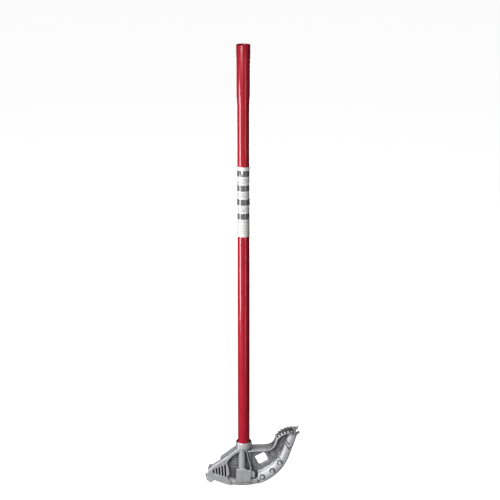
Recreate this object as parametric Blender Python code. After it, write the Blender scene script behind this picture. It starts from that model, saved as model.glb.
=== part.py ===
"""Hand conduit bender for 13 mm (1/2 in) thin-wall conduit: cast head, steel handle and wrap label.

The frame: +Z up along the handle, +X towards the foot pedal, -Y towards the side with the hook plate.
The origin is the lowest point of the groove's crown, on the handle's axis, where the head sits on
the conduit. Run it with blender --background --python part.py, or from Blender's text editor.
"""
import math

import bmesh
import bpy
from mathutils import Matrix, Vector

MM = 0.001

# Conduit and bend
CONDUIT_D = 17.9          # outside diameter of the conduit
BEND_R = 101.6            # bend radius to the conduit's centre line, 4 in
GROOVE_R = CONDUIT_D / 2 + 0.15   # half width of the groove
GROOVE_CROWN_R = BEND_R - GROOVE_R  # radius of the groove's crown about the bend centre
LIP_R = 109.6             # radius of the shoe's outer lips
HOOK_FLOOR_R = 110.8      # radius of the hook's floor, which the conduit rests on
SHOE_STEPS = 24           # flats round the bend
LIP_EDGE = 2.2            # how far the lips' outer edges are cut back
SHOE_HALF = 13.0          # half width of the shoe
TOE_ANGLE = 71.0          # degrees round the bend from the handle to the straight toe
TOE_LENGTH = 80.0         # straight run towards the toe, before the tread trims it
HOOK_ANGLE = -24.0        # degrees round the bend from the handle to the straight hook end
HOOK_LENGTH = 46.5        # straight run to the hook's end
HOOK_STEP = 0.8           # how far the collar stands past the shoe's end

# Handle: 3/4 in pipe, 36 in long, with a wider open end
PIPE_R = 13.35
PIPE_BORE_R = 10.5
FLARE_R = 14.85
FLARE_BORE_R = 12.1
HANDLE_LENGTH = 914.4
FLARE_LENGTH = 101.0
TAPER_LENGTH = 33.0
RING_TOP = 92.6           # height of the socket's rim
SOCKET_DEPTH = 13.6
RING_R = 18.25
MOUTH_R = 15.7            # radius of the socket's wider mouth
MOUTH_DEPTH = 3.6

# Label round the handle
LABEL_TOP_DROP = 259.6    # from the handle's upper end down to the label
LABEL_LENGTH = 155.0
LABEL_GAP = 0.15
LABEL_THICKNESS = 0.25
LABEL_SEAM = 8.0          # degrees left open at the back

# Casting
WEB_HALF = 4.0            # half thickness of the main web
POCKET_HALF = 2.0         # half thickness of the web inside the pedal
FLANGE = 3.4              # thickness of the right flange and of the tread
FLANGE_HALF = 17.5        # half width of the right flange and of the toe
WAIST_HALF = 12.5         # half width where the tread leaves the hollow
LEFT_FLANGE_HALF = 14.4
PLATE_FACE = -14.8        # near face of the hook plate
CLEAR = 0.3               # gap between touching pieces

HOLLOW_CENTRE = (51.0, 95.8)
HOLLOW_R = 21.0
TREAD_SLOPE = 75.0        # degrees, the tread's tangent where the hollow meets it
TREAD_CURVE = ((75.5, 106.0), (89.0, 115.4), (110.0, 115.2))  # after the hollow, a Bezier curve
TREAD_STEPS = 12
TOE_TIP = (126.5, 114.4)

STUD_INSET = 4.6          # from the tread's edge to the middle of a stud
STUD_COUNT = 8
STUD_R = 2.7
STUD_HEIGHT = 2.8

WINDOW_CENTRE = (40.7, 47.8)
WINDOW_SIDE = 24.5
WINDOW_CORNER = 2.5
WINDOW_TURN = 27.0


def bend_point(angle, radius):
    """The (x, z) of a point round the bend centre, at degrees from straight down."""
    turn = math.radians(angle)
    return radius * math.sin(turn), GROOVE_CROWN_R - radius * math.cos(turn)


def along_path(angle, radius, run):
    """A point on the tangent that leaves the bend at angle, run millimetres past it."""
    x, z = bend_point(angle, radius)
    turn = math.radians(angle)
    side = math.copysign(run, angle)
    return x + side * math.cos(turn), z + side * math.sin(turn)


def hook_point(run, radius):
    return along_path(HOOK_ANGLE, radius, run)


def arc(centre, radius, start, end, steps):
    """Points of an arc in the XZ plane, with angles in degrees from +X towards +Z."""
    points = []
    for i in range(steps + 1):
        turn = math.radians(start + (end - start) * i / steps)
        points.append((centre[0] + radius * math.cos(turn), centre[1] + radius * math.sin(turn)))
    return points


def material(name, colour, roughness, metallic):
    mat = bpy.data.materials.new(name)
    mat.use_nodes = True
    shader = mat.node_tree.nodes["Principled BSDF"]
    shader.inputs["Base Color"].default_value = (*colour, 1.0)
    shader.inputs["Roughness"].default_value = roughness
    shader.inputs["Metallic"].default_value = metallic
    return mat


def add_object(name, bm):
    """Turn a bmesh in millimetres into an object in metres, with its faces pointing out."""
    bmesh.ops.transform(bm, matrix=Matrix.Scale(MM, 4), verts=bm.verts)
    bmesh.ops.recalc_face_normals(bm, faces=bm.faces)
    mesh = bpy.data.meshes.new(name)
    bm.to_mesh(mesh)
    bm.free()
    obj = bpy.data.objects.new(name, mesh)
    bpy.context.scene.collection.objects.link(obj)
    return obj


def prism(name, outline, near, far):
    """A solid from an (x, z) outline, between two depths along Y."""
    bm = bmesh.new()
    face = bm.faces.new([bm.verts.new((x, near, z)) for x, z in outline])
    grown = bmesh.ops.extrude_face_region(bm, geom=[face])
    moved = [v for v in grown["geom"] if isinstance(v, bmesh.types.BMVert)]
    bmesh.ops.translate(bm, vec=Vector((0, far - near, 0)), verts=moved)
    return add_object(name, bm)


def box(name, x0, x1, y0, y1, z0, z1):
    return prism(name, [(x0, z0), (x1, z0), (x1, z1), (x0, z1)], y0, y1)


def turned(name, profile, sides, closed=False, sweep=360.0, turn=0.0):
    """A solid of revolution about Z from an (r, z) profile.

    A profile that isn't closed has both its ends on the axis. A closed one that sweeps less than
    a full turn gets a cap at each end.
    """
    bm = bmesh.new()
    full = sweep >= 360.0
    columns = []
    for i in range(sides if full else sides + 1):
        angle = math.radians(turn + sweep * i / sides)
        columns.append([bm.verts.new((r * math.cos(angle), r * math.sin(angle), z)) for r, z in profile])
    count = len(profile)
    links = count if closed else count - 1
    for i in range(sides):
        here, there = columns[i], columns[(i + 1) % len(columns)]
        for j in range(links):
            k = (j + 1) % count
            bm.faces.new((here[j], here[k], there[k], there[j]))
    if closed and not full:
        bm.faces.new(columns[0])
        bm.faces.new(reversed(columns[-1]))
    bmesh.ops.remove_doubles(bm, verts=bm.verts, dist=1e-5)
    return add_object(name, bm)


def loft(name, sections):
    """A closed solid through rings of points that have the same count."""
    bm = bmesh.new()
    rings = [[bm.verts.new(p) for p in section] for section in sections]
    for here, there in zip(rings, rings[1:]):
        for j in range(len(here)):
            k = (j + 1) % len(here)
            bm.faces.new((here[j], here[k], there[k], there[j]))
    bm.faces.new(rings[0])
    bm.faces.new(reversed(rings[-1]))
    return add_object(name, bm)


def combine(base, other, operation):
    """Add, cut or trim base with another object, which stays as a hidden guide."""
    other.hide_render = True
    other.display_type = "WIRE"
    modifier = base.modifiers.new(f"{operation.lower()}_{other.name}", "BOOLEAN")
    modifier.operation = operation
    modifier.object = other
    modifier.solver = "EXACT"


def sweep(name, profile, steps, start, overrun):
    """Carry an (r, y) profile along the shoe from toe to hook. The profile is a function of the
    angle round the bend. The straight ends begin at start and run past the shoe's by overrun."""
    stations = [(TOE_ANGLE, TOE_LENGTH + overrun), (TOE_ANGLE, start)]
    for i in range(1, steps):
        stations.append((TOE_ANGLE + (HOOK_ANGLE - TOE_ANGLE) * i / steps, 0.0))
    stations += [(HOOK_ANGLE, start), (HOOK_ANGLE, HOOK_LENGTH + overrun)]
    sections = []
    for angle, run in stations:
        ring = []
        for r, y in profile(angle):
            x, z = along_path(angle, r, run)
            ring.append((x, y, z))
        sections.append(ring)
    return loft(name, sections)


def trough_profile(half, outer, steps, edge=0.0):
    """A U on its side: a half round about the conduit's line, with straight walls out to outer and
    the lips' outer edges cut back by edge."""
    points = [(outer, edge - half), (outer - 1.5 * edge, -half)] if edge else [(outer, -half)]
    for i in range(steps + 1):
        turn = math.radians(180.0 * i / steps)
        points.append((BEND_R - half * math.sin(turn), -half * math.cos(turn)))
    points += [(outer - 1.5 * edge, half), (outer, half - edge)] if edge else [(outer, half)]
    return points


def lip_relief(angle):
    """How much shorter the lips are under the socket block, fading out to both sides."""
    middle, flat, fade, depth = 8.0, 20.0, 12.0, 2.4
    share = min(1.0, max(0.0, (abs(angle - middle) - flat) / fade))
    return depth * (1.0 - share * share * (3.0 - 2.0 * share))


def shoe():
    """The swept trough, before the conduit's groove is cut."""
    def profile(angle):
        return trough_profile(SHOE_HALF, LIP_R - lip_relief(angle), 12, LIP_EDGE)

    return sweep("bender_head", profile, SHOE_STEPS, 0.0, -HOOK_STEP)


def tread_line():
    """The top face from the hollow's end to the toe, as (x, z, slope in degrees)."""
    start = arc(HOLLOW_CENTRE, HOLLOW_R, TREAD_SLOPE - 90.0, TREAD_SLOPE - 90.0, 1)[0]
    p0, p1, p2, p3 = (Vector(p) for p in (start, *TREAD_CURVE))
    line = []
    for i in range(TREAD_STEPS + 1):
        t = i / TREAD_STEPS
        u = 1.0 - t
        point = u ** 3 * p0 + 3 * u * u * t * p1 + 3 * u * t * t * p2 + t ** 3 * p3
        way = u * u * (p1 - p0) + 2 * u * t * (p2 - p1) + t * t * (p3 - p2)
        line.append((point.x, point.y, math.degrees(math.atan2(way.y, way.x))))
    line.append((*TOE_TIP, -2.8))
    return line


def top_end(drop):
    """The toe's end, which leans back under the tread."""
    return TOE_TIP[0] - 0.8 * drop, TOE_TIP[1] - drop


def top_outline(drop):
    """The upper edge of the flange and the tread from the socket to the toe, drop millimetres below
    their top face."""
    points = [(8.0, HOLLOW_CENTRE[1] - HOLLOW_R - drop)]
    points += arc(HOLLOW_CENTRE, HOLLOW_R + drop, -90.0, TREAD_SLOPE - 90.0, 8)
    for x, z, slope in tread_line()[1:-1]:
        turn = math.radians(slope)
        points.append((x + drop * math.sin(turn), z - drop * math.cos(turn)))
    points.append(top_end(drop))
    return points


def flange_half(x):
    """Half width of the right flange and tread, which narrow to a waist past the hollow."""
    waist, before, after = 76.0, 50.0, 110.0
    reach = before if x < waist else after
    share = min(1.0, abs(x - waist) / abs(reach - waist))
    ease = share * share * (3.0 - 2.0 * share)
    return WAIST_HALF + (FLANGE_HALF - WAIST_HALF) * ease


def silhouette():
    """The casting's side outline, a little outside the shoe's lips."""
    spare = 4.0
    points = [(-8.0, 83.0), (-53.0, 49.7), (-70.5, 39.0)]
    points += [hook_point(39.5, 85.5), hook_point(47.5, 85.5), hook_point(48.0, LIP_R + spare)]
    for i in range(13):
        angle = HOOK_ANGLE + (TOE_ANGLE - HOOK_ANGLE) * i / 12
        points.append(bend_point(angle, LIP_R + spare))
    points.append(along_path(TOE_ANGLE, LIP_R + spare, 62.0))
    points += reversed(top_outline(0.0))
    return points


def web_outline():
    """The main web: it reaches into the flanges and the shoe without showing past them."""
    points = [(-4.0, 80.0), (-52.0, 46.0), (-66.0, 38.0), hook_point(38.0, 83.0), hook_point(38.0, 94.0)]
    inside = (GROOVE_CROWN_R + BEND_R - SHOE_HALF) / 2
    for i in range(13):
        angle = HOOK_ANGLE + (TOE_ANGLE - HOOK_ANGLE) * i / 12
        points.append(bend_point(angle, inside))
    points.append(along_path(TOE_ANGLE, inside, 50.0))
    points += reversed(top_outline(FLANGE / 2)[:-2])
    return points


def left_flange(head):
    band = [(-4.0, 86.0), (-53.0, 49.7), (-53.3, 41.5), (-39.0, 48.0), (-28.0, 60.0), (-15.6, 68.5)]
    band.append((-4.0, 74.0))
    combine(head, prism("flange_left", band, -LEFT_FLANGE_HALF, LEFT_FLANGE_HALF), "UNION")


def right_flange(head):
    """The flange, the hollow and the tread are one strip whose width changes along it."""
    sections = []
    for (x, z), (low_x, low_z) in zip(top_outline(0.0), top_outline(FLANGE)):
        half = flange_half(x)
        sections.append([(x, -half, z), (x, half, z), (low_x, half, low_z), (low_x, -half, low_z)])
    combine(head, loft("flange_right", sections), "UNION")


def hook_plate(head):
    """The flat plate at the hook's near side. Its left end carries the hook's lug."""
    edge = [(-27.9, 62.5), (-53.0, 49.7), (-70.5, 39.0), hook_point(45.4, 85.0)]
    edge += [hook_point(48.2, 91.0), hook_point(48.4, 101.0), hook_point(46.4, 105.6)]
    edge += [hook_point(42.6, 108.0), hook_point(39.4, 112.8), hook_point(35.4, 118.0)]
    edge += [hook_point(33.0, 119.2), hook_point(31.0, 118.6), hook_point(29.2, 115.0), hook_point(27.0, LIP_R)]
    edge += [hook_point(0.0, LIP_R), bend_point(-19.0, LIP_R - 0.4), (-28.4, -11.8)]
    edge += [(-31.8, -0.3), (-39.6, 8.3), (-33.8, 15.9), (-34.9, 29.2), (-39.4, 46.0)]
    combine(head, prism("hook_plate", edge, PLATE_FACE, -1.0), "UNION")


def hook_end(head):
    """The collar round the conduit at the hook's end. Its far side stays open, so that the conduit
    can be rolled in over the lug's floor."""
    end = HOOK_LENGTH
    collar = [hook_point(39.5, 100.0), hook_point(39.5, 86.4), hook_point(40.5, 85.5)]
    collar += [hook_point(end - 0.9, 85.5), hook_point(end, 86.4), hook_point(end, 100.0)]
    combine(head, prism("hook_collar", collar, -8.0, SHOE_HALF + 0.4), "UNION")
    floor = [hook_point(28.4, 109.0), hook_point(end - 0.4, 109.0), hook_point(end - 0.4, 113.6)]
    floor += [hook_point(41.0, 116.6), hook_point(35.4, 118.0), hook_point(33.0, 119.2)]
    floor += [hook_point(31.0, 118.6), hook_point(29.2, 115.0)]
    combine(head, prism("hook_floor", floor, PLATE_FACE + 0.6, SHOE_HALF - 0.7), "UNION")
    wall = [hook_point(27.6, 111.6), hook_point(27.6, 104.0), hook_point(end - 0.2, 104.0)]
    wall.append(hook_point(end - 0.2, 111.6))
    combine(head, prism("hook_wall", wall, PLATE_FACE + 0.9, -GROOVE_R - 1.0), "UNION")


def bulge(head):
    """The fuller walls of the shoe beside the bend, from the socket block to the straight toe."""
    left, last, steps = 31.0, 62.0, 15
    near = []
    for i in range(steps + 1):
        share = i / steps
        crest = 79.0 + 9.8 * share ** 1.3
        wall = 14.2 - 1.0 * share
        profile = [(LIP_R - 0.5, -9.6), (LIP_R - 0.5, -11.4), (LIP_R - 3.5, -wall + 0.4), (103.0, -wall)]
        profile += [(97.0, -wall + 0.7), (91.5, -wall + 2.4), (crest + 2.6, -8.2), (crest, -6.4)]
        profile += [(crest - 0.4, -2.0), (98.0, -2.0), (98.0, -9.6)]
        ring = []
        for r, y in profile:
            first = math.degrees(math.asin(left / r))
            x, z = bend_point(first + (last - first) * share, r)
            ring.append((x, y, z))
        near.append(ring)
    combine(head, loft("bulge_near", near), "UNION")
    far = [[(x, -y, z) for x, y, z in reversed(ring)] for ring in near]
    combine(head, loft("bulge_far", far), "UNION")


def socket(head):
    profile = [(0.0, 66.0), (13.5, 70.0), (RING_R, 78.5), (RING_R, RING_TOP - 1.2)]
    profile += [(RING_R - 1.0, RING_TOP), (0.0, RING_TOP)]
    combine(head, turned("socket_ring", profile, 48), "UNION")
    combine(head, box("boss", -13.0, 16.0, -9.0, 9.0, 18.0, 76.3), "UNION")
    near = turned("column_near", [(0.0, 22.0), (8.8, 22.0), (8.8, 76.0), (0.0, 76.0)], 32)
    near.location = (-4.7 * MM, -6.8 * MM, 0.0)
    combine(head, near, "UNION")
    far = turned("column_far", [(0.0, 22.2), (11.5, 22.2), (11.5, 75.5), (0.0, 75.5)], 32)
    far.location = (0.0, 4.6 * MM, 0.0)
    combine(head, far, "UNION")


def socket_bore(head):
    """The blind bore that the handle stands in, with its wider mouth."""
    floor, wall, over = RING_TOP - SOCKET_DEPTH - CLEAR, PIPE_R + CLEAR, RING_TOP + 5.0
    bore = [(0.0, floor), (wall, floor), (wall, RING_TOP - MOUTH_DEPTH - MOUTH_R + wall)]
    bore += [(MOUTH_R, RING_TOP - MOUTH_DEPTH), (MOUTH_R, over), (0.0, over)]
    combine(head, turned("socket_cutter", bore, 48), "DIFFERENCE")


def panel(head):
    """The hollow beside the near column, and the slanting rib that closes it on the right."""
    hollow = [(4.6, 25.8), (13.6, 25.8), (5.4, 66.0), (4.6, 66.0)]
    combine(head, prism("panel_hollow", hollow, -20.0, -6.5), "DIFFERENCE")
    rib = [(1.6, 82.0), (3.6, 82.0), (18.0, 24.0), (15.4, 24.0)]
    combine(head, prism("panel_rib", rib, -15.6, -4.0), "UNION")


def block(head):
    """The wide block over the groove, under the column, and the two small pads beside it."""
    outline = [(-18.5, 0.0), (-16.5, -3.5), (12.5, -3.5), (14.8, 0.0), (14.8, 28.0), (13.4, 29.6)]
    outline += [(-17.0, 29.6), (-18.5, 28.0)]
    combine(head, prism("block_near", outline, -17.4, -3.0), "UNION")
    combine(head, prism("block_far", outline, 3.0, 17.4), "UNION")
    for side in (-1, 1):
        depths = sorted((side * 2.9, side * 15.2))
        tag = "near" if side < 0 else "far"
        upper = [(13.0, 6.0), (24.4, 6.5), (24.8, 17.0), (21.0, 22.0), (13.0, 22.5)]
        combine(head, prism(f"pad_upper_{tag}", upper, *depths), "UNION")
        lower = [(13.2, -10.0), (30.0, -6.5), (31.2, 1.0), (28.0, 3.0), (13.2, 3.2)]
        combine(head, prism(f"pad_lower_{tag}", lower, *depths), "UNION")


def pedal_pocket(head):
    """The web inside the pedal is thinner than the main web, on both sides."""
    inner = BEND_R - SHOE_HALF
    outline = top_outline(FLANGE)[2:-4]
    outline += [along_path(TOE_ANGLE, inner, 44.0), along_path(TOE_ANGLE, inner, 0.0), bend_point(58.5, inner)]
    outline += [(67.6, 49.8), (56.0, 56.5)]
    combine(head, prism("pocket_near", outline, -9.0, -POCKET_HALF), "DIFFERENCE")
    combine(head, prism("pocket_far", outline, POCKET_HALF, 9.0), "DIFFERENCE")


def window(head):
    half = WINDOW_SIDE / 2 - WINDOW_CORNER
    turn = math.radians(WINDOW_TURN)
    outline = []
    for corner, (sx, sz) in enumerate(((1, 1), (-1, 1), (-1, -1), (1, -1))):
        start = 90.0 * corner
        for x, z in arc((sx * half, sz * half), WINDOW_CORNER, start, start + 90.0, 4):
            outline.append((
                WINDOW_CENTRE[0] + x * math.cos(turn) - z * math.sin(turn),
                WINDOW_CENTRE[1] + x * math.sin(turn) + z * math.cos(turn),
            ))
    combine(head, prism("window_cutter", outline, -30.0, 30.0), "DIFFERENCE")


def studs(head):
    """Two rows of blunt studs along the tread's edges, square to its surface."""
    line = tread_line()
    lengths = [0.0]
    for here, there in zip(line, line[1:]):
        lengths.append(lengths[-1] + math.dist(here[:2], there[:2]))
    profile = [(0.0, -1.5), (STUD_R, -1.5), (STUD_R - 0.5, STUD_HEIGHT - 0.8), (STUD_R - 1.4, STUD_HEIGHT)]
    profile += [(0.0, STUD_HEIGHT)]
    for i in range(STUD_COUNT):
        run = 10.5 + (lengths[-1] - 13.5) * i / (STUD_COUNT - 1)
        k = max(j for j in range(len(line) - 1) if lengths[j] <= run)
        share = (run - lengths[k]) / (lengths[k + 1] - lengths[k])
        x, z, slope = (a + (b - a) * share for a, b in zip(line[k], line[k + 1]))
        for side in (-1, 1):
            stud = turned(f"stud_{i}_{'near' if side < 0 else 'far'}", profile, 8)
            stud.location = (x * MM, side * (flange_half(x) - STUD_INSET) * MM, z * MM)
            stud.rotation_euler = (0.0, math.radians(-slope), 0.0)
            combine(head, stud, "UNION")


def grooves(head):
    """The conduit's way through the shoe and the open side of the hook. Past the hook's lug the
    groove is cut deeper, which leaves a notch between the toe's two prongs."""
    def profile(angle):
        return trough_profile(GROOVE_R, HOOK_FLOOR_R if angle < HOOK_ANGLE / 2 else 135.0, 12)

    combine(head, sweep("groove_cutter", profile, SHOE_STEPS + 1, 0.7, 8.0), "DIFFERENCE")
    side = [hook_point(12.0, 113.0), hook_point(18.0, 99.0), hook_point(60.0, 99.0)]
    side += [hook_point(60.0, HOOK_FLOOR_R + 0.1), hook_point(30.0, HOOK_FLOOR_R + 0.1)]
    combine(head, prism("hook_opening", side, 4.0, 30.0), "DIFFERENCE")


def bender_head():
    """The casting: walls and web first, then the outline that trims them, then what stands proud."""
    head = shoe()
    combine(head, prism("web", web_outline(), -WEB_HALF, WEB_HALF), "UNION")
    right_flange(head)
    left_flange(head)
    combine(head, prism("side_trim", silhouette(), -40.0, 40.0), "INTERSECT")
    pedal_pocket(head)
    bulge(head)
    hook_plate(head)
    hook_end(head)
    block(head)
    socket(head)
    panel(head)
    studs(head)
    grooves(head)
    window(head)
    socket_bore(head)
    head.data.materials.append(material("cast_aluminium", (0.42, 0.42, 0.44), 0.45, 0.9))
    return head


def handle_tube():
    """Pipe with an open, wider upper end. Its lower end screws into the head's socket."""
    bottom = RING_TOP - SOCKET_DEPTH
    top = bottom + HANDLE_LENGTH
    start = top - FLARE_LENGTH
    outside = [(PIPE_R - 0.8, bottom), (PIPE_R, bottom + 0.8), (PIPE_R, start - TAPER_LENGTH)]
    inside = [(PIPE_BORE_R, bottom), (PIPE_BORE_R, start - TAPER_LENGTH)]
    steps = 5
    for i in range(1, steps + 1):
        share = i / steps
        ease = share * share * (3.0 - 2.0 * share)
        z = start - TAPER_LENGTH + TAPER_LENGTH * share
        outside.append((PIPE_R + (FLARE_R - PIPE_R) * ease, z))
        inside.append((PIPE_BORE_R + (FLARE_BORE_R - PIPE_BORE_R) * ease, z))
    outside += [(FLARE_R, top - 0.6), (FLARE_R - 0.6, top)]
    inside += [(FLARE_BORE_R, top - 0.4), (FLARE_BORE_R + 0.4, top)]
    tube = turned("handle_tube", outside + list(reversed(inside)), 48, closed=True)
    tube.data.materials.append(material("red_paint", (0.38, 0.012, 0.026), 0.3, 0.0))
    return tube


def handle_label():
    """A thin film wrapped round the pipe, with its seam at the back."""
    top = RING_TOP - SOCKET_DEPTH + HANDLE_LENGTH - LABEL_TOP_DROP
    inner = PIPE_R + LABEL_GAP
    outer = inner + LABEL_THICKNESS
    profile = [(inner, top - LABEL_LENGTH), (outer, top - LABEL_LENGTH), (outer, top), (inner, top)]
    label = turned("handle_label", profile, 47, closed=True, sweep=360.0 - LABEL_SEAM, turn=90.0 + LABEL_SEAM / 2)
    label.data.materials.append(material("label_film", (0.85, 0.85, 0.85), 0.5, 0.0))
    return label


def finish(obj):
    """Smooth the round faces and keep the real edges sharp."""
    obj.data.shade_smooth()
    obj.data.set_sharp_from_angle(angle=math.radians(35))


def main():
    for obj in list(bpy.data.objects):
        bpy.data.objects.remove(obj)
    for obj in (bender_head(), handle_tube(), handle_label()):
        finish(obj)


main()
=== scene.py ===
"""The conduit bender's looks: a cast head with its marks, a painted pipe handle and a wrap label.

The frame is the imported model's: metres, +Z up along the handle, +X towards the pedal and -Y towards
the side with the hook plate. Shapes are worked out in millimetres and scaled once when they are made.
"""
import math

import bmesh
import bpy
from mathutils import Matrix, Vector


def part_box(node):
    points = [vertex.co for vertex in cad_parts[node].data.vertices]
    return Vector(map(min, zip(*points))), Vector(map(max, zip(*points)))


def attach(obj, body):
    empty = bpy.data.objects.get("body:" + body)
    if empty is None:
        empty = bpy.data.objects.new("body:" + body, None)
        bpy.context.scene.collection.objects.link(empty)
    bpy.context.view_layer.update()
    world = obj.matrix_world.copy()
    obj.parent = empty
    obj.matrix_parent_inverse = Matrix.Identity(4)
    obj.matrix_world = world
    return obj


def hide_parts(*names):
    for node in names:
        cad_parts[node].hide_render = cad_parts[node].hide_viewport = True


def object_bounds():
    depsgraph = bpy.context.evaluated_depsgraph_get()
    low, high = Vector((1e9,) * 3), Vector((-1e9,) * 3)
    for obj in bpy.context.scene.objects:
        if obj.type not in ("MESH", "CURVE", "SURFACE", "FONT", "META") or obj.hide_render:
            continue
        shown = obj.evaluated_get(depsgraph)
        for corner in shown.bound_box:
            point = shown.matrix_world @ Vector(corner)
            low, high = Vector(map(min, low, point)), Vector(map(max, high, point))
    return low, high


MM = 0.001

# The bend that the groove follows, as the CAD model has it
BEND_R = 101.6
CROWN_R = 92.5
TOE_ANGLE = 71.0
SHOE_HALF = 13.0              # half width of the shoe's round side

# The fuller wall beside the bend. It narrows by 1 mm over its sweep. Above the line at RIDGE_R its face
# leans inwards, and below that line it comes out to the full half width.
WALL_HALF = 14.2
WALL_START = 20.0             # degrees round the bend
WALL_SWEEP = 42.0
RIDGE_R = 97.0
RIDGE_DROP = 0.7              # how far that line stands in from the full half width
UPPER_SLOPE = (1.7, 5.5)      # fall over run
LOWER_RUN = 6.0

# Sunk index rings on that wall, each cut by a round bar that rises as it goes round (degrees)
RING_ANGLES = (25.6, 41.6, 57.0)
RING_MID_R = 97.8
RING_R = 4.9
RING_BAR_R = 2.0
RING_FIRST = -95.0
RING_SWEEP = 300.0
RING_SUNK = 1.3
RING_RISE = 1.9

# Sunk lines across the toe, each with its runs past the bend and its radii at both ends
TOE_LINES = (
    ((31.0, 25.0), (90.5, 100.5)),
    ((24.5, 14.5), (92.0, 103.0)),
    ((14.5, 22.0), (103.0, 106.5)),
)
TOE_BAR_R = 1.7
TOE_SUNK = 0.8

# Sunk dashes on the near lip: first and last angle, radius, and distance from the middle plane
LIP_DASHES = ((5.4, 11.9, 102.4, 14.6), (18.1, 25.0, 101.8, 13.2))
LIP_BAR_R = 1.8

# Slots across the hook plate. From the first to the last they move along X, and their ends spread.
SLOT_COUNT = 5
SLOT_X = (-69.0, 26.5)        # the first slot's place, and how far the last is past it
SLOT_LOW = (21.5, -9.5)
SLOT_HIGH = (28.5, 11.0)
SLOT_WIDTH = 3.3
SLOT_LEAN = 1.5
SLOT_NEAR, SLOT_FAR = -16.5, -8.6

# The middle of the tread's top face: a Bezier curve from the hollow, then the toe's tip
TREAD_CURVE = ((71.3, 90.4), (75.5, 106.0), (89.0, 115.4), (110.0, 115.2))
TREAD_STEPS = 24
TOE_TIP = (126.5, 114.4)

# The tread's half width, from its waist to the toe
WAIST_X = 76.0
WAIST_REACH = 34.0
WAIST_HALF = 12.5
TOE_HALF = 17.5

# Raised lines in the recess left of the column
WEB_LINE_COUNT = 5
WEB_LINE_LOW = 30.0
WEB_LINE_PITCH = 6.2
WEB_LINE_LEFT, WEB_LINE_RIGHT = -27.5, -15.0
WEB_LINE_STEP = 0.8           # each line starts this much further right than the one below
WEB_LINE_R = 1.1
WEB_FACE = -4.0

# The double bead on each fuller wall: lift above the wall's crest, how far it is sunk, and its radius
CREST_BEADS = ((0.4, 0.2, 0.9), (3.2, 0.1, 0.7))
CREST_LOW, CREST_RISE, CREST_CURVE = 79.0, 9.8, 1.3
CREST_START_X = 31.5
CREST_END_ANGLE = 61.0
CREST_HALF, CREST_SLOPE = 6.4, 0.70

# Upright lines on the block's face
FLUTE_COUNT = 6
FLUTE_LEFT = -14.0
FLUTE_PITCH = 4.8
FLUTE_FACE = 17.15
FLUTE_LOW, FLUTE_HIGH = 2.0, 26.0
FLUTE_R = 0.42

# Studs along the tread, and the round caps that fill them out
STUD_COUNT = 8
STUD_START = 10.5
STUD_END = 3.0
STUD_INSET = 4.6
CAP_R = 3.1
CAP_LIFT = 0.7

# The handle's section. Heights come from the frame.
PIPE_R = 13.35
PIPE_BORE_R = 10.5
FLARE_R = 14.85
FLARE_BORE_R = 12.1
FLARE_LENGTH = 101.0
TAPER_LENGTH = 33.0
PIPE_CHAMFER = 0.8
RIM_ROUND = 0.7

# The casting's surface
VOXEL = 0.65
CAST_SMOOTHING = 3
CAST_FACES = 185000

# Down from the label's top edge: dark bands, then rows of fine print, then ruled lines
LABEL_BANDS = ((8.2, 21.1), (39.8, 53.2), (70.9, 84.3), (102.3, 115.6))
LABEL_PRINT = ((25.0, 36.5), (57.0, 67.5), (88.5, 99.0), (119.5, 124.5))
LABEL_RULES = (127.5, 132.2, 136.9, 141.6, 146.3)
LABEL_ROW = 2.6               # from one row of ticks to the next
LABEL_TICK = 0.9
LABEL_SOFT = 0.15             # half width of a printed edge's blur


# ---------------------------------------------------------------- mesh helpers

def new_object(name, bm):
    """Turn a bmesh in millimetres into an object in metres."""
    bmesh.ops.transform(bm, matrix=Matrix.Scale(MM, 4), verts=bm.verts)
    bmesh.ops.recalc_face_normals(bm, faces=bm.faces)
    mesh = bpy.data.meshes.new(name)
    bm.to_mesh(mesh)
    bm.free()
    obj = bpy.data.objects.new(name, mesh)
    bpy.context.scene.collection.objects.link(obj)
    return obj


def bend_point(angle, radius):
    """The (x, z) of a point round the bend centre, at degrees from straight down."""
    turn = math.radians(angle)
    return radius * math.sin(turn), CROWN_R - radius * math.cos(turn)


def toe_point(run, radius):
    """A point beside the straight toe, run millimetres past the bend."""
    x, z = bend_point(TOE_ANGLE, radius)
    turn = math.radians(TOE_ANGLE)
    return x + run * math.cos(turn), z + run * math.sin(turn)


def add_tube(bm, points, radius, sides=8):
    """A round bar through the points, with flat ends."""
    points = [Vector(p) for p in points]
    rings = []
    side = None
    for i, point in enumerate(points):
        ahead = points[min(i + 1, len(points) - 1)] - points[max(i - 1, 0)]
        ahead.normalize()
        if side is None:
            side = ahead.orthogonal().normalized()
        side = (side - ahead * side.dot(ahead)).normalized()
        other = ahead.cross(side)
        ring = []
        for k in range(sides):
            turn = 2.0 * math.pi * k / sides
            ring.append(bm.verts.new(point + radius * (math.cos(turn) * side + math.sin(turn) * other)))
        rings.append(ring)
    for here, there in zip(rings, rings[1:]):
        for k in range(sides):
            n = (k + 1) % sides
            bm.faces.new((here[k], here[n], there[n], there[k]))
    bm.faces.new(reversed(rings[0]))
    bm.faces.new(rings[-1])


def add_slot(bm, start, end, width, near, far):
    """A bar with round ends between two (x, z) points, from one depth along Y to another."""
    start, end = Vector(start), Vector(end)
    heading = math.atan2(end.y - start.y, end.x - start.x)
    outline = []
    for centre, first in ((end, heading - math.pi / 2), (start, heading + math.pi / 2)):
        for k in range(7):
            turn = first + math.pi * k / 6
            outline.append(centre + width / 2 * Vector((math.cos(turn), math.sin(turn))))
    front = [bm.verts.new((p.x, near, p.y)) for p in outline]
    back = [bm.verts.new((p.x, far, p.y)) for p in outline]
    bm.faces.new(front)
    bm.faces.new(reversed(back))
    for k in range(len(outline)):
        n = (k + 1) % len(outline)
        bm.faces.new((front[n], front[k], back[k], back[n]))


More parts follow.
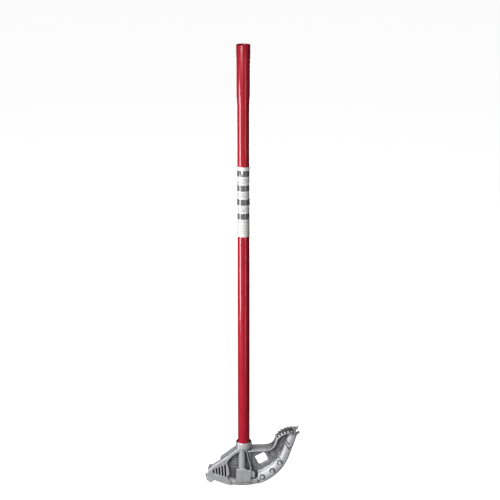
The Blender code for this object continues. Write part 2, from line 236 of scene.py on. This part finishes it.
def turned(name, profile, sides, sweep=360.0, turn=0.0):
    """A closed (r, z) profile turned about Z. A part turn gets a cap at each end."""
    bm = bmesh.new()
    full = sweep >= 360.0
    columns = []
    for i in range(sides if full else sides + 1):
        angle = math.radians(turn + sweep * i / sides)
        columns.append([bm.verts.new((r * math.cos(angle), r * math.sin(angle), z)) for r, z in profile])
    for i in range(sides):
        here, there = columns[i], columns[(i + 1) % len(columns)]
        for j in range(len(profile)):
            k = (j + 1) % len(profile)
            bm.faces.new((here[j], here[k], there[k], there[j]))
    if not full:
        bm.faces.new(columns[0])
        bm.faces.new(reversed(columns[-1]))
    obj = new_object(name, bm)
    obj.data.shade_smooth()
    obj.data.set_sharp_from_angle(angle=math.radians(40))
    return obj


# ---------------------------------------------------------------- node helpers

class Nodes:
    """A short way to write a node tree."""

    def __init__(self, tree):
        self.tree = tree

    def add(self, kind, **properties):
        """A new node with these properties."""
        node = self.tree.nodes.new(kind)
        for name, value in properties.items():
            setattr(node, name, value)
        return node

    def link(self, source, target):
        self.tree.links.new(source, target)

    def position(self):
        """The object's own coordinates, in metres."""
        return self.add("ShaderNodeTexCoord").outputs["Object"]

    def noise(self, place, size, detail=4.0, roughness=0.55):
        """Noise whose features are about size millimetres across."""
        node = self.add("ShaderNodeTexNoise")
        node.inputs["Scale"].default_value = 1.0 / (size * MM)
        node.inputs["Detail"].default_value = detail
        node.inputs["Roughness"].default_value = roughness
        self.link(place, node.inputs["Vector"])
        return node.outputs["Fac"]

    def span(self, value, low, high, to_low=0.0, to_high=1.0):
        """Map a value's low to high range onto another, clamped."""
        node = self.add("ShaderNodeMapRange")
        node.clamp = True
        for key, number in zip(("From Min", "From Max", "To Min", "To Max"), (low, high, to_low, to_high)):
            node.inputs[key].default_value = number
        self.link(value, node.inputs["Value"])
        return node.outputs["Result"]

    def maths(self, operation, a, b=0.0):
        node = self.add("ShaderNodeMath", operation=operation)
        for socket, value in zip(node.inputs, (a, b)):
            if isinstance(value, (int, float)):
                socket.default_value = value
            else:
                self.link(value, socket)
        return node.outputs[0]

    def blend(self, share, a, b):
        """Colour a where share is 0 and b where it is 1."""
        node = self.add("ShaderNodeMix", data_type="RGBA")
        self.link(share, node.inputs[0])
        for socket, value in zip((node.inputs[6], node.inputs[7]), (a, b)):
            if isinstance(value, tuple):
                socket.default_value = (*value, 1.0)
            else:
                self.link(value, socket)
        return node.outputs[2]

    def bump(self, height, strength, distance, under=None):
        """Bump whose full height is distance millimetres."""
        node = self.add("ShaderNodeBump")
        node.inputs["Strength"].default_value = strength
        node.inputs["Distance"].default_value = distance * MM
        self.link(height, node.inputs["Height"])
        if under is not None:
            self.link(under, node.inputs["Normal"])
        return node.outputs["Normal"]


# ---------------------------------------------------------------- materials

class Finish(Nodes):
    """A new material, and the nodes that feed its shader."""

    def __init__(self, name):
        self.material = bpy.data.materials.new(name)
        self.material.use_nodes = True
        super().__init__(self.material.node_tree)
        self.shader = self.tree.nodes["Principled BSDF"]


def painted_occlusion_shade(n, colour, reach, span, shade):
    """Painted shade: darken the colour where other surfaces stand within reach millimetres, as in
    recesses.
    """
    around = n.add("ShaderNodeAmbientOcclusion", samples=8)
    around.inputs["Distance"].default_value = reach * MM
    return n.blend(n.span(around.outputs["AO"], *span), colour, shade)


def tread_top_shade(n, spot, pits, colour):
    """Painted shade, patchy like the pits, on the tread's upward faces and on the toe's edges."""
    facing = n.add("ShaderNodeSeparateXYZ")
    n.link(n.add("ShaderNodeNewGeometry").outputs["Normal"], facing.inputs[0])
    upward = n.span(facing.outputs["Z"], 0.25, 0.65)
    top = n.maths("MULTIPLY", upward, n.span(spot["X"], 50.0 * MM, 66.0 * MM))
    top = n.maths("MULTIPLY", top, n.span(pits, 0.25, 0.65, 0.95, 0.65))
    high = n.span(spot["Z"], 96.0 * MM, 104.0 * MM, 0.0, 0.62)
    rim = n.maths("MULTIPLY", n.span(spot["aside"], 13.5 * MM, 15.0 * MM), high)
    rim = n.maths("MULTIPLY", rim, n.span(spot["X"], 60.0 * MM, 72.0 * MM))
    return n.blend(n.maths("MAXIMUM", top, rim), colour, (0.062, 0.062, 0.067))


def cast_aluminium():
    """Satin, sand-cast aluminium: fine grain, soft mottling, painted shade in recesses, creases and on the
    tread's tops, and rubbed edges lightened partly as a painted highlight.
    """
    n = Finish("cast_aluminium_finish")
    place = n.position()
    mottle = n.noise(place, 9.0, 5.0)
    grain = n.noise(place, 0.9, 3.0, 0.6)
    pits = n.noise(place, 2.4, 2.0)
    split = n.add("ShaderNodeSeparateXYZ")
    n.link(place, split.inputs[0])
    aside = n.maths("ABSOLUTE", split.outputs["Y"])
    spot = {"X": split.outputs["X"], "Z": split.outputs["Z"], "aside": aside}

    colour = n.blend(n.span(mottle, 0.35, 0.65), (0.56, 0.562, 0.582), (0.69, 0.692, 0.714))
    # Painted shade in the recesses and in the narrow crevices.
    colour = painted_occlusion_shade(n, colour, 26.0, (0.30, 0.95, 0.92, 0.0), (0.075, 0.075, 0.080))
    colour = painted_occlusion_shade(n, colour, 4.5, (0.35, 0.92, 0.9, 0.0), (0.030, 0.030, 0.033))
    bend = n.add("ShaderNodeNewGeometry").outputs["Pointiness"]
    # Painted shade in the concave creases, found by their curvature.
    colour = n.blend(n.span(bend, 0.40, 0.485, 0.85, 0.0), colour, (0.035, 0.035, 0.038))
    # Painted shade on the tread's tops and on the toe's edges.
    colour = tread_top_shade(n, spot, pits, colour)
    # Painted shade, patchy, on the web that lies deep between the flanges.
    deep = n.span(aside, 6.5 * MM, 9.5 * MM, 1.0, 0.0)
    web_shade = n.maths("MULTIPLY", deep, n.span(n.noise(place, 5.0, 4.0), 0.35, 0.62, 0.15, 0.68))
    colour = n.blend(web_shade, colour, (0.12, 0.12, 0.125))
    # Convex edges lightened: rubbed wear and a painted highlight.
    edge = n.span(bend, 0.52, 0.58)
    wear_and_edge_highlight = n.maths("MULTIPLY", edge, n.span(n.noise(place, 4.0, 4.0), 0.35, 0.6))
    n.link(n.blend(wear_and_edge_highlight, colour, (0.88, 0.88, 0.89)), n.shader.inputs["Base Color"])

    dull = n.span(grain, 0.3, 0.7, 0.46, 0.62)
    polish = n.maths("MULTIPLY", wear_and_edge_highlight, 0.12)
    n.link(n.maths("SUBTRACT", dull, polish), n.shader.inputs["Roughness"])
    n.shader.inputs["Metallic"].default_value = 0.6
    under = n.bump(pits, 0.6, 0.34)
    n.link(n.bump(grain, 0.7, 0.24, under), n.shader.inputs["Normal"])
    return n.material


def red_paint():
    """Semi-gloss red paint on steel pipe, with a little orange peel, smears and fine scuffs."""
    n = Finish("red_paint_finish")
    place = n.position()
    cloud = n.noise(place, 40.0, 4.0)
    colour = n.blend(n.span(cloud, 0.35, 0.65), (0.335, 0.010, 0.022), (0.395, 0.014, 0.030))
    stretched = n.add("ShaderNodeMapping")
    stretched.inputs["Scale"].default_value = (1.0, 1.0, 0.05)
    n.link(place, stretched.inputs["Vector"])
    scuffs = n.span(n.noise(stretched.outputs["Vector"], 0.6, 2.0), 0.70, 0.76)
    colour = n.blend(n.maths("MULTIPLY", scuffs, 0.25), colour, (0.55, 0.10, 0.12))
    n.link(colour, n.shader.inputs["Base Color"])
    smears = n.noise(place, 14.0, 5.0)
    n.link(n.span(smears, 0.3, 0.7, 0.18, 0.26), n.shader.inputs["Roughness"])
    n.shader.inputs["Coat Weight"].default_value = 0.5
    n.shader.inputs["Coat Roughness"].default_value = 0.16
    n.link(n.bump(n.noise(place, 1.6, 2.0), 0.35, 0.03), n.shader.inputs["Normal"])
    return n.material


def label_film(top):
    """White printed film with grey bands. Its rows of print are plain ticks and hold no letters."""
    n = Finish("label_film_finish")
    place = n.position()
    split = n.add("ShaderNodeSeparateXYZ")
    n.link(place, split.inputs[0])
    drop = n.maths("MULTIPLY", n.maths("SUBTRACT", top * MM, split.outputs["Z"]), 1.0 / MM)
    around = n.maths("MULTIPLY", n.maths("ARCTAN2", split.outputs["Y"], split.outputs["X"]), PIPE_R)

    def between(low, high):
        start = n.span(drop, low - LABEL_SOFT, low + LABEL_SOFT)
        return n.maths("MULTIPLY", start, n.span(drop, high + LABEL_SOFT, high - LABEL_SOFT))

    def total(masks):
        mask = masks[0]
        for other in masks[1:]:
            mask = n.maths("MAXIMUM", mask, other)
        return mask

    bands = total([between(low, high) for low, high in LABEL_BANDS])
    print_zone = total([between(low, high) for low, high in LABEL_PRINT])
    rules = total([between(z, z + 0.5) for z in LABEL_RULES])
    rows = n.maths("DIVIDE", drop, LABEL_ROW)
    in_row = n.maths("LESS_THAN", n.maths("FRACT", rows), 0.42)
    cell = n.add("ShaderNodeCombineXYZ")
    n.link(n.maths("FLOOR", n.maths("DIVIDE", around, LABEL_TICK)), cell.inputs["X"])
    n.link(n.maths("FLOOR", rows), cell.inputs["Y"])
    chance = n.add("ShaderNodeTexWhiteNoise", noise_dimensions="3D")
    n.link(cell.outputs[0], chance.inputs["Vector"])
    ticks = n.maths("MULTIPLY", n.maths("GREATER_THAN", chance.outputs["Value"], 0.38), in_row)
    ticks = n.maths("MULTIPLY", ticks, print_zone)
    paper = n.blend(n.span(n.noise(place, 12.0, 4.0), 0.35, 0.65), (0.68, 0.68, 0.67), (0.75, 0.75, 0.74))
    colour = n.blend(n.maths("MULTIPLY", ticks, 0.92), paper, (0.12, 0.12, 0.125))
    colour = n.blend(n.maths("MULTIPLY", rules, 0.8), colour, (0.16, 0.16, 0.17))
    colour = n.blend(bands, colour, (0.125, 0.126, 0.132))
    n.link(colour, n.shader.inputs["Base Color"])
    n.link(n.span(n.noise(place, 6.0, 3.0), 0.3, 0.7, 0.22, 0.32), n.shader.inputs["Roughness"])
    n.shader.inputs["Coat Weight"].default_value = 1.0
    n.shader.inputs["Coat Roughness"].default_value = 0.10
    n.link(n.bump(n.noise(place, 3.5, 2.0), 0.3, 0.03), n.shader.inputs["Normal"])
    return n.material


def paper_white(name, glow):
    """Matt white paper, lifted towards white so that the object stands on a clean ground."""
    n = Finish(name)
    place = n.position()
    colour = n.blend(n.span(n.noise(place, 300.0, 3.0), 0.3, 0.7), (0.84, 0.84, 0.84), (0.86, 0.86, 0.86))
    n.link(colour, n.shader.inputs["Base Color"])
    n.shader.inputs["Roughness"].default_value = 0.9
    n.shader.inputs["Emission Color"].default_value = (1.0, 1.0, 1.0, 1.0)
    n.shader.inputs["Emission Strength"].default_value = glow
    return n.material


# ---------------------------------------------------------------- the cast head

def bulge_wall(angle, radius, side, sunk=0.0):
    """A point on the fuller wall beside the bend, sunk below its surface along Y."""
    share = (angle - WALL_START) / WALL_SWEEP
    depth = WALL_HALF - share - RIDGE_DROP
    if radius < RIDGE_R:
        fall, run = UPPER_SLOPE
        depth = depth - (RIDGE_R - radius) * fall / run
    else:
        depth = depth + min(LOWER_RUN, radius - RIDGE_R) * RIDGE_DROP / LOWER_RUN
    x, z = bend_point(angle, radius)
    return x, side * (depth - sunk), z


def degree_marks(bm, side):
    """Sunk open rings beside the bend, one at each usual angle, shallower towards the block."""
    steps = 20
    for angle in RING_ANGLES:
        ring = []
        for k in range(steps + 1):
            share = k / steps
            turn = math.radians(RING_FIRST + RING_SWEEP * share)
            along = RING_R * math.cos(turn)
            radius = RING_MID_R - RING_R * math.sin(turn)
            sunk = RING_SUNK - RING_RISE * share ** 3
            ring.append(bulge_wall(angle + math.degrees(along / radius), radius, side, sunk))
        add_tube(bm, ring, RING_BAR_R)


def toe_marks(bm, side):
    """Sunk index lines across the straight toe."""
    steps = 6
    for runs, radii in TOE_LINES:
        line = []
        for k in range(steps + 1):
            share = k / steps
            run = runs[0] + (runs[1] - runs[0]) * share
            radius = radii[0] + (radii[1] - radii[0]) * share
            reach = SHOE_HALF
            if radius < BEND_R:
                reach = math.sqrt(max(0.0, SHOE_HALF ** 2 - (radius - BEND_R) ** 2))
            x, z = toe_point(run, radius)
            line.append((x, side * (reach - TOE_SUNK), z))
        add_tube(bm, line, TOE_BAR_R)


def lip_dashes(bm):
    """Two sunk dashes on the near lip, under the block's right edge and under the fuller wall's start."""
    steps = 4
    for first, last, radius, depth in LIP_DASHES:
        line = []
        for k in range(steps + 1):
            x, z = bend_point(first + (last - first) * k / steps, radius)
            line.append((x, -depth, z))
        add_tube(bm, line, LIP_BAR_R)


def plate_slots(bm):
    """Plain slots across the hook plate, each longer than the one before it as the plate widens."""
    for k in range(SLOT_COUNT):
        share = k / (SLOT_COUNT - 1)
        x, low, high = (first + change * share for first, change in (SLOT_X, SLOT_LOW, SLOT_HIGH))
        add_slot(bm, (x, low), (x - SLOT_LEAN, high), SLOT_WIDTH, SLOT_NEAR, SLOT_FAR)


def tread_line():
    """The tread's top face as (x, z) points, from the hollow to the toe's tip."""
    curve = [Vector(p) for p in TREAD_CURVE]
    line = []
    for i in range(TREAD_STEPS + 1):
        t = i / TREAD_STEPS
        u = 1.0 - t
        near = u ** 3 * curve[0] + 3 * u * u * t * curve[1]
        line.append(near + 3 * u * t * t * curve[2] + t ** 3 * curve[3])
    line.append(Vector(TOE_TIP))
    return line


def tread_half(x):
    """The tread's half width, which grows from its waist to the toe."""
    share = min(1.0, abs(x - WAIST_X) / WAIST_REACH)
    return WAIST_HALF + (TOE_HALF - WAIST_HALF) * share * share * (3.0 - 2.0 * share)


def stud_caps(bm, side):
    """Rounded caps that fill out the tread's studs, square to its surface."""
    line = tread_line()
    length = sum((b - a).length for a, b in zip(line, line[1:]))
    for i in range(STUD_COUNT):
        left = STUD_START + (length - STUD_START - STUD_END) * i / (STUD_COUNT - 1)
        for here, there in zip(line, line[1:]):
            step = (there - here).length
            if left <= step:
                break
            left -= step
        way = (there - here) / step
        x, z = here + way * left + CAP_LIFT * Vector((-way.y, way.x))
        middle = Matrix.Translation((x, side * (tread_half(x) - STUD_INSET), z))
        bmesh.ops.create_icosphere(bm, subdivisions=2, radius=CAP_R, matrix=middle)


def web_lines(bm):
    """Raised lines in the recess left of the column, on the near side."""
    for k in range(WEB_LINE_COUNT):
        z = WEB_LINE_LOW + WEB_LINE_PITCH * k
        left = WEB_LINE_LEFT + WEB_LINE_STEP * k
        add_tube(bm, [(left, WEB_FACE, z), (WEB_LINE_RIGHT, WEB_FACE, z)], WEB_LINE_R, 6)


def crest_beads(bm, side):
    """A thin double bead along the top of each fuller wall."""
    steps = 18
    for lift, sunk, radius in CREST_BEADS:
        line = []
        for k in range(steps + 1):
            share = k / steps
            crest = CREST_LOW + CREST_RISE * share ** CREST_CURVE + lift
            first = math.degrees(math.asin(CREST_START_X / crest))
            x, z = bend_point(first + (CREST_END_ANGLE - first) * share, crest)
            line.append((x, side * (CREST_HALF + CREST_SLOPE * lift - sunk), z))
        add_tube(bm, line, radius)


def block_flutes(bm, side):
    """Faint upright lines left on the block's face by its pattern."""
    y = side * FLUTE_FACE
    for k in range(FLUTE_COUNT):
        x = FLUTE_LEFT + FLUTE_PITCH * k
        add_tube(bm, [(x, y, FLUTE_LOW), (x, y, FLUTE_HIGH)], FLUTE_R, 6)


def cast_head():
    """The casting: the CAD head with its marks cut and its beads added, then worn soft."""
    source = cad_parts["bender_head"]
    head = bpy.data.objects.new("cast_head", source.data.copy())
    head.matrix_world = source.matrix_world
    bpy.context.scene.collection.objects.link(head)

    cuts = bmesh.new()
    for side in (-1, 1):
        degree_marks(cuts, side)
        toe_marks(cuts, side)
    lip_dashes(cuts)
    plate_slots(cuts)
    cutter = new_object("mark_cutter", cuts)
    cut = head.modifiers.new("marks", "BOOLEAN")
    cut.operation = "DIFFERENCE"
    cut.object = cutter
    cut.solver = "EXACT"
    cut.use_self = True
    apply_all(head)
    bpy.data.objects.remove(cutter)

    beads = bmesh.new()
    web_lines(beads)
    for side in (-1, 1):
        crest_beads(beads, side)
        stud_caps(beads, side)
        block_flutes(beads, side)
    bmesh.ops.recalc_face_normals(beads, faces=beads.faces)
    bmesh.ops.transform(beads, matrix=Matrix.Scale(MM, 4), verts=beads.verts)
    beads.from_mesh(head.data)
    beads.to_mesh(head.data)
    beads.free()

    remesh(head, VOXEL)
    smooth = head.modifiers.new("wear", "SMOOTH")
    smooth.factor = 0.5
    smooth.iterations = CAST_SMOOTHING
    apply_all(head)
    triangles = sum(len(p.vertices) - 2 for p in head.data.polygons)
    if triangles > CAST_FACES:
        thin = head.modifiers.new("thin", "DECIMATE")
        thin.ratio = CAST_FACES / triangles
        apply_all(head)
    keep_largest(head)
    head.data.shade_smooth()
    head.data.materials.clear()
    head.data.materials.append(cast_aluminium())
    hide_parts("bender_head")
    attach(head, "root")


def remesh(obj, size):
    """Rebuild the mesh as one skin of cells about size millimetres across."""
    modifier = obj.modifiers.new("voxels", "REMESH")
    modifier.mode = "VOXEL"
    modifier.voxel_size = size * MM
    apply_all(obj)


def apply_all(obj):
    """Replace the mesh by what its modifiers make of it."""
    graph = bpy.context.evaluated_depsgraph_get()
    graph.update()
    mesh = bpy.data.meshes.new_from_object(obj.evaluated_get(graph))
    obj.modifiers.clear()
    obj.data = mesh


def keep_largest(obj):
    """Drop any loose crumb, so that the piece is one body."""
    bm = bmesh.new()
    bm.from_mesh(obj.data)
    bm.verts.ensure_lookup_table()
    seen = set()
    groups = []
    for start in bm.verts:
        if start.index in seen:
            continue
        group = []
        stack = [start]
        seen.add(start.index)
        while stack:
            vert = stack.pop()
            group.append(vert)
            for edge in vert.link_edges:
                other = edge.other_vert(vert)
                if other.index not in seen:
                    seen.add(other.index)
                    stack.append(other)
        groups.append(group)
    groups.sort(key=len)
    for group in groups[:-1]:
        bmesh.ops.delete(bm, geom=group, context="VERTS")
    bm.to_mesh(obj.data)
    bm.free()


# ---------------------------------------------------------------- the handle

def rounded(points, r0, z0, r1, z1, centre, steps=5):
    """Add a quarter round to a profile, from (r0, z0) to (r1, z1) about a centre."""
    a0 = math.atan2(z0 - centre[1], r0 - centre[0])
    a1 = math.atan2(z1 - centre[1], r1 - centre[0])
    size = math.dist((r0, z0), centre)
    for k in range(steps + 1):
        turn = a0 + (a1 - a0) * k / steps
        points.append((centre[0] + size * math.cos(turn), centre[1] + size * math.sin(turn)))


def pipe_handle():
    """Painted pipe with a wider open end, rounded at its rim."""
    low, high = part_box("handle_tube")
    bottom, top = low[2] / MM, high[2] / MM
    start = top - FLARE_LENGTH
    outside = [(PIPE_R - PIPE_CHAMFER, bottom), (PIPE_R, bottom + PIPE_CHAMFER)]
    inside = [(PIPE_BORE_R, bottom)]
    steps = 16
    for i in range(steps + 1):
        share = i / steps
        ease = share * share * (3.0 - 2.0 * share)
        z = start - TAPER_LENGTH + TAPER_LENGTH * share
        outside.append((PIPE_R + (FLARE_R - PIPE_R) * ease, z))
        inside.append((PIPE_BORE_R + (FLARE_BORE_R - PIPE_BORE_R) * ease, z))
    edge = RIM_ROUND
    rounded(outside, FLARE_R, top - edge, FLARE_R - edge, top, (FLARE_R - edge, top - edge))
    lip = []
    rounded(lip, FLARE_BORE_R + edge, top, FLARE_BORE_R, top - edge, (FLARE_BORE_R + edge, top - edge))
    tube = turned("painted_handle", outside + lip + list(reversed(inside)), 128)
    tube.data.materials.append(red_paint())
    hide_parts("handle_tube")
    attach(tube, "root")


def wrap_label():
    """Thin film round the pipe, with a seam at the back and soft edges."""
    low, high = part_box("handle_label")
    bottom, top = low[2] / MM, high[2] / MM
    inner, outer = PIPE_R + 0.15, PIPE_R + 0.40
    profile = [(inner, bottom), (outer - 0.08, bottom), (outer, bottom + 0.15)]
    profile += [(outer, top - 0.15), (outer - 0.08, top), (inner, top)]
    label = turned("wrap_label", profile, 124, sweep=352.0, turn=94.0)
    label.data.materials.append(label_film(top))
    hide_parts("handle_label")
    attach(label, "root")


# ---------------------------------------------------------------- stage, light and camera

def stage_only(obj):
    """Part of the studio: the camera sees it, and it lends the object no light or reflection."""
    obj.visible_diffuse = False
    obj.visible_glossy = False


def studio(height):
    """A paper floor and a plain dome behind it."""
    bm = bmesh.new()
    half = 14000.0
    corners = [(-half, -half), (half, -half), (half, half), (-half, half)]
    bm.faces.new([bm.verts.new((x, y, height)) for x, y in corners])
    ground = new_object("studio_floor", bm)
    ground.data.materials.append(paper_white("floor_paper", 0.95))
    ground.visible_shadow = False
    stage_only(ground)
    bm = bmesh.new()
    bmesh.ops.create_uvsphere(bm, u_segments=48, v_segments=24, radius=13000.0)
    dome = new_object("studio_dome", bm)
    dome.data.materials.append(paper_white("dome_paper", 1.3))
    dome.visible_shadow = False
    stage_only(dome)


def area_light(name, place, target, width, height, power):
    """A soft box in metres and watts, which the camera doesn't see."""
    light = bpy.data.lights.new(name, "AREA")
    light.shape = "RECTANGLE"
    light.size = width
    light.size_y = height
    light.energy = power
    obj = bpy.data.objects.new(name, light)
    bpy.context.scene.collection.objects.link(obj)
    obj.location = place
    obj.rotation_euler = (Vector(target) - Vector(place)).to_track_quat("-Z", "Y").to_euler()
    obj.visible_camera = False


def lights():
    """A surround that dims to the right and upwards, a front key from the left, a low soft light
    behind, and a narrow tall soft box on each side for the pipe's highlights."""
    world = bpy.data.worlds.new("studio")
    bpy.context.scene.world = world
    world.use_nodes = True
    n = Nodes(world.node_tree)
    split = n.add("ShaderNodeSeparateXYZ")
    n.link(n.add("ShaderNodeTexCoord").outputs["Generated"], split.inputs[0])
    across = n.span(split.outputs["X"], -0.9, 0.9, 0.85, 0.30)
    upward = n.span(split.outputs["Z"], 0.05, 0.75, 1.0, 0.30)
    strength = n.maths("MULTIPLY", across, upward)
    n.link(strength, n.tree.nodes["Background"].inputs["Strength"])
    area_light("left_strip", (-0.70, -0.28, 0.455), (0.0, 0.0, 0.40), 0.18, 0.68, 5.8)
    area_light("right_strip", (0.62, -1.00, 0.35), (0.0, 0.0, 0.40), 0.07, 1.1, 2.0)
    area_light("key", (-1.35, -2.25, 1.42), (0.0, 0.0, 0.3), 1.0, 0.55, 72.0)
    area_light("back_soft", (0.5, 2.4, 0.30), (0.0, 0.0, 0.25), 2.4, 0.6, 24.0)


def camera():
    """A long lens from the near side, a little to the left and looking 17 degrees down."""
    azimuth, pitch = math.radians(-5.0), math.radians(17.0)
    distance, aside, height = 2.782, 0.0141, 1.39685
    right = Vector((math.cos(azimuth), math.sin(azimuth), 0.0))
    level = Vector((-math.sin(azimuth), math.cos(azimuth), 0.0))
    forward = level * math.cos(pitch) - Vector((0.0, 0.0, math.sin(pitch)))
    up = level * math.sin(pitch) + Vector((0.0, 0.0, math.cos(pitch)))
    data = bpy.data.cameras.new("camera")
    data.sensor_width = 36.0
    data.lens = 96.19
    obj = bpy.data.objects.new("camera", data)
    bpy.context.scene.collection.objects.link(obj)
    matrix = Matrix((right, up, -forward)).transposed().to_4x4()
    matrix.translation = right * aside - level * distance + Vector((0.0, 0.0, height))
    obj.matrix_world = matrix
    bpy.context.scene.camera = obj


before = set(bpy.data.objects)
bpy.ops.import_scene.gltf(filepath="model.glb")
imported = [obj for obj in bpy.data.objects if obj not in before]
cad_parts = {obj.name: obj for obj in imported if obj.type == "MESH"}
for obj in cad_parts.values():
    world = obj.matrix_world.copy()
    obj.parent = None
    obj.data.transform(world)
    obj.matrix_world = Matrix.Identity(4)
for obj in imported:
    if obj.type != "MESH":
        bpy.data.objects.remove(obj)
cad_box = [list(corner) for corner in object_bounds()]
bpy.context.scene.view_settings.view_transform = "Standard"
camera()
lights()
studio(cad_box[0][2] / MM)
cast_head()
pipe_handle()
wrap_label()
